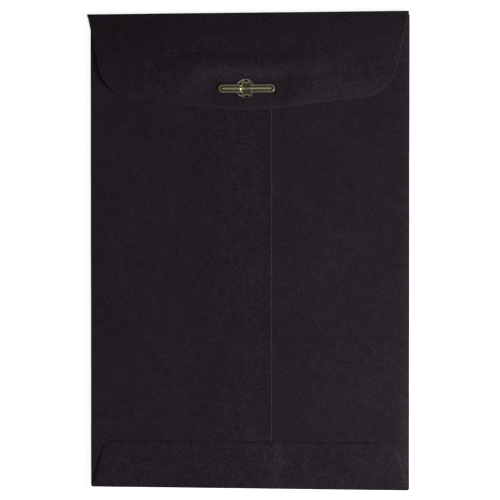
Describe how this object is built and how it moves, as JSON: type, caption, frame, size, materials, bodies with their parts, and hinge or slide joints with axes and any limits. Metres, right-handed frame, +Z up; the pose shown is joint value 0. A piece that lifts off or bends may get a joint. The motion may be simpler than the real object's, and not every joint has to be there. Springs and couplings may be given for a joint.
{
  "type": "clasp envelope",
  "caption": "Open-end paper envelope with a centre seam, a gummed seal flap with a reinforced eyelet, and a metal clasp whose wings bend up through it.",
  "frame": {"origin": "centre of the address side, which the envelope lies on", "axes": "+X to the right across the width, +Y from the bottom fold to the top fold, +Z up through the paper towards the seam side"},
  "size_m": [0.1549, 0.2286, 0.0022],
  "materials": {
    "black_kraft": "matt dyed kraft paper with a fine mottled grain",
    "seam_glue": "dried adhesive film",
    "dry_gum": "semi-gloss remoistenable gum",
    "fibre_patch": "pale hard fibre",
    "antique_brass": "dull olive brass, brighter on rims and beads"
  },
  "bodies": {
    "envelope": {"front_panel": "black_kraft", "left_fold": "black_kraft", "right_fold": "black_kraft", "left_side_panel": "black_kraft", "right_side_panel": "black_kraft", "centre_seam_glue": "seam_glue", "bottom_fold": "black_kraft", "bottom_flap": "black_kraft", "bottom_seam_glue": "seam_glue", "top_fold": "black_kraft", "clasp_cover_patch": "black_kraft", "clasp_base": "antique_brass"},
    "flap": {"seal_flap": "black_kraft", "flap_gum": "dry_gum", "eyelet_patch": "fibre_patch"},
    "left_wing": {"left_wing": "antique_brass"},
    "right_wing": {"right_wing": "antique_brass"}
  },
  "joints": [
    {"name": "flap_hinge", "type": "hinge", "parent": "envelope", "child": "flap", "pos_m": [-0.00095, 0.11347, 0.00083], "axis": [-1, 0, 0], "range_deg": [0, 180], "deforming": ["top_fold"]},
    {"name": "left_wing_bend", "type": "hinge", "parent": "envelope", "child": "left_wing", "pos_m": [-0.00323, 0.0778, 0.00131], "axis": [0, 1, 0], "range_deg": [0, 90]},
    {"name": "right_wing_bend", "type": "hinge", "parent": "envelope", "child": "right_wing", "pos_m": [0.00133, 0.0778, 0.00131], "axis": [0, -1, 0], "range_deg": [0, 90]}
  ]
}
